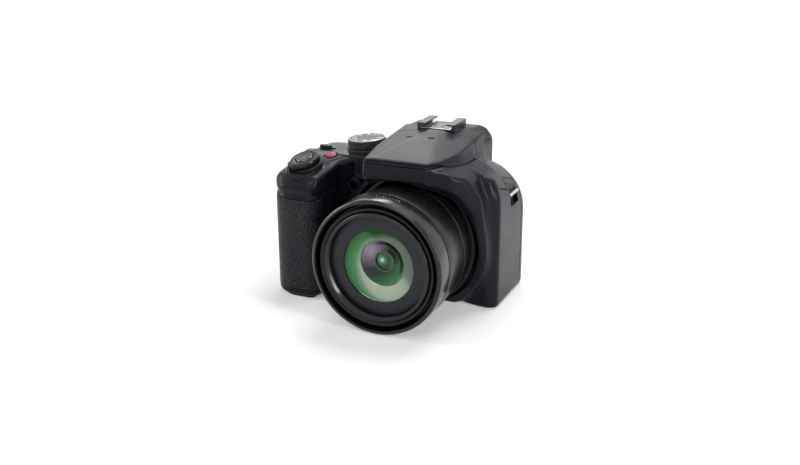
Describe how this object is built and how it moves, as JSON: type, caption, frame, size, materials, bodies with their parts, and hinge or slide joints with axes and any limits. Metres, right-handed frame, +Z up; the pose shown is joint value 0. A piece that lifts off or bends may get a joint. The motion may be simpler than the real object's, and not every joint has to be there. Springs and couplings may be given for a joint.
{
  "type": "bridge camera",
  "caption": "Superzoom bridge camera with a deep hand grip, telescoping lens, pop-up flash, hot shoe, finder and rear screen.",
  "frame": {"origin": "centre of the tripod socket mouth, on the base plane", "axes": "+Z up; -Y along the lens axis, the way the lens looks; +X to the camera's own left, seen from the front on the right"},
  "size_m": [0.1302, 0.1192, 0.0943],
  "materials": {
    "body_plastic": "fine matt moulded",
    "flash_plastic": "smooth matt",
    "grip_rubber": "fine leather grain",
    "barrel_plastic": "satin black",
    "rim_metal": "satin black paint on aluminium",
    "control_plastic": "satin",
    "button_metal": "spun",
    "movie_red": "satin red",
    "shoe_metal": "black paint on steel",
    "bright_metal": "polished",
    "steel": "plain",
    "glass": "coated",
    "screen": "clear over a dark panel",
    "inner_plastic": "plain",
    "board": "solder mask",
    "cells": "wrapped"
  },
  "bodies": {
    "camera": {"af_lamp": "glass", "battery": "cells", "battery_chamber": "steel", "chassis": "steel", "evf_lens": "glass", "evf_module": "inner_plastic", "eyecup": "grip_rubber", "fixed_barrel": "barrel_plastic", "flash_capacitor": "inner_plastic", "front_cover": "body_plastic", "front_rim": "rim_metal", "grip_cover": "grip_rubber", "guide_rods": "steel", "hinge_pins": "steel", "hot_shoe": "shoe_metal", "image_sensor": "board", "lcd_panel": "inner_plastic", "lcd_window": "screen", "lens_base": "inner_plastic", "main_board": "board", "memory_card": "cells", "rear_cover": "body_plastic", "rear_element": "glass", "shoe_contacts": "bright_metal", "speaker": "inner_plastic", "strap_lugs": "bright_metal", "terminal_sockets": "cells", "top_cover": "body_plastic", "tripod_socket": "bright_metal", "zoom_motor": "steel"},
    "outer_tube": {"lens_stage_1": "barrel_plastic", "aperture_unit": "inner_plastic"},
    "inner_tube": {"lens_stage_2": "barrel_plastic", "name_ring": "rim_metal", "front_element": "glass", "second_element": "glass"},
    "cam": {"cam_ring": "inner_plastic"},
    "pinion": {"zoom_gear": "inner_plastic"},
    "flash": {"flash_head": "flash_plastic", "flash_window": "glass", "flash_tube": "glass", "microphones": "inner_plastic"},
    "shutter": {"shutter_button": "button_metal"},
    "lever": {"zoom_lever": "control_plastic"},
    "dial": {"mode_dial": "rim_metal"},
    "power": {"power_switch": "control_plastic"},
    "movie": {"movie_button": "movie_red"},
    "burst": {"burst_button": "control_plastic"},
    "back_dial": {"rear_dial": "control_plastic"},
    "playback": {"playback_button": "control_plastic"},
    "finder_switch": {"lvf_button": "control_plastic"},
    "display": {"disp_button": "control_plastic"},
    "menu": {"menu_button": "control_plastic"},
    "pad": {"cursor_pad": "control_plastic"},
    "set": {"set_button": "control_plastic"},
    "diopter": {"diopter_dial": "control_plastic"},
    "battery_cover": {"battery_door": "body_plastic"},
    "latch": {"battery_latch": "control_plastic"},
    "socket_cover": {"terminal_door": "body_plastic"}
  },
  "joints": [
    {"name": "zoom_out", "type": "slide", "parent": "camera", "child": "outer_tube", "axis": [0, -1, 0], "range_m": [0, 0.03]},
    {"name": "zoom_inner", "type": "slide", "parent": "outer_tube", "child": "inner_tube", "axis": [0, -1, 0], "range_m": [0, 0.028]},
    {"name": "cam_turn", "type": "hinge", "parent": "camera", "child": "cam", "pos_m": [0, 0, 0.0366], "axis": [0, 1, 0], "range_deg": [0, 100]},
    {"name": "pinion_turn", "type": "hinge", "parent": "camera", "child": "pinion", "pos_m": [-0.03646, -0.0167, 0.04987], "axis": [0, 1, 0], "range_deg": [-650, 0]},
    {"name": "flash_lift", "type": "hinge", "parent": "camera", "child": "flash", "pos_m": [0, -0.0082, 0.0876], "axis": [-1, 0, 0], "range_deg": [0, 38]},
    {"name": "shutter_press", "type": "slide", "parent": "camera", "child": "shutter", "axis": [0.1392, 0.273, -0.9519], "range_m": [0, 0.0012], "stiffness_N_per_m": 500, "springref_m": -0.0005},
    {"name": "zoom_rock", "type": "hinge", "parent": "camera", "child": "lever", "pos_m": [-0.0625, -0.0395, 0.0736], "axis": [-0.1392, -0.273, 0.9519], "range_deg": [-20, 20], "stiffness_Nm_per_rad": 0.05},
    {"name": "mode_turn", "type": "hinge", "parent": "camera", "child": "dial", "pos_m": [-0.04, -0.008, 0.0775], "axis": [-0.0698, 0, 0.9976], "continuous": true},
    {"name": "power_slide", "type": "slide", "parent": "camera", "child": "power", "axis": [0.9998, 0, 0.0175], "range_m": [0, 0.004]},
    {"name": "movie_press", "type": "slide", "parent": "camera", "child": "movie", "axis": [0, 0.2079, -0.9781], "range_m": [0, 0.0005], "stiffness_N_per_m": 500, "springref_m": -0.0005},
    {"name": "burst_press", "type": "slide", "parent": "camera", "child": "burst", "axis": [0.0698, 0, -0.9976], "range_m": [0, 0.0005], "stiffness_N_per_m": 500, "springref_m": -0.0005},
    {"name": "back_dial_turn", "type": "hinge", "parent": "camera", "child": "back_dial", "pos_m": [-0.062, 0.0131, 0.0605], "axis": [0, 0, 1], "continuous": true},
    {"name": "playback_press", "type": "slide", "parent": "camera", "child": "playback", "axis": [0, -1, 0], "range_m": [0, 0.0005], "stiffness_N_per_m": 500, "springref_m": -0.0005},
    {"name": "finder_press", "type": "slide", "parent": "camera", "child": "finder_switch", "axis": [0, -1, 0], "range_m": [0, 0.0005], "stiffness_N_per_m": 500, "springref_m": -0.0005},
    {"name": "display_press", "type": "slide", "parent": "camera", "child": "display", "axis": [0, -1, 0], "range_m": [0, 0.0005], "stiffness_N_per_m": 500, "springref_m": -0.0005},
    {"name": "menu_press", "type": "slide", "parent": "camera", "child": "menu", "axis": [0, -1, 0], "range_m": [0, 0.0005], "stiffness_N_per_m": 500, "springref_m": -0.0005},
    {"name": "pad_press", "type": "slide", "parent": "camera", "child": "pad", "axis": [0, -1, 0], "range_m": [0, 0.0005], "stiffness_N_per_m": 500, "springref_m": -0.0005},
    {"name": "set_press", "type": "slide", "parent": "camera", "child": "set", "axis": [0, -1, 0], "range_m": [0, 0.0005], "stiffness_N_per_m": 500, "springref_m": -0.0005},
    {"name": "diopter_turn", "type": "hinge", "parent": "camera", "child": "diopter", "pos_m": [-0.024, 0.019, 0.075], "axis": [-1, 0, 0], "range_deg": [-120, 120]},
    {"name": "battery_door_swing", "type": "hinge", "parent": "camera", "child": "battery_cover", "pos_m": [-0.052, -0.022, 0.0009], "axis": [0, -1, 0], "range_deg": [0, 95]},
    {"name": "latch_slide", "type": "slide", "parent": "battery_cover", "child": "latch", "axis": [1, 0, 0], "range_m": [0, 0.004]},
    {"name": "socket_door_swing", "type": "hinge", "parent": "camera", "child": "socket_cover", "pos_m": [-0.0822, -0.014, 0.037], "axis": [0, 0, 1], "range_deg": [0, 95]}
  ],
  "couplings": [
    {"joint": "zoom_out", "follows": "cam_turn", "m_per_rad": 0.017189},
    {"joint": "zoom_inner", "follows": "cam_turn", "m_per_rad": 0.016043},
    {"joint": "pinion_turn", "follows": "cam_turn", "ratio": -6.4615}
  ]
}
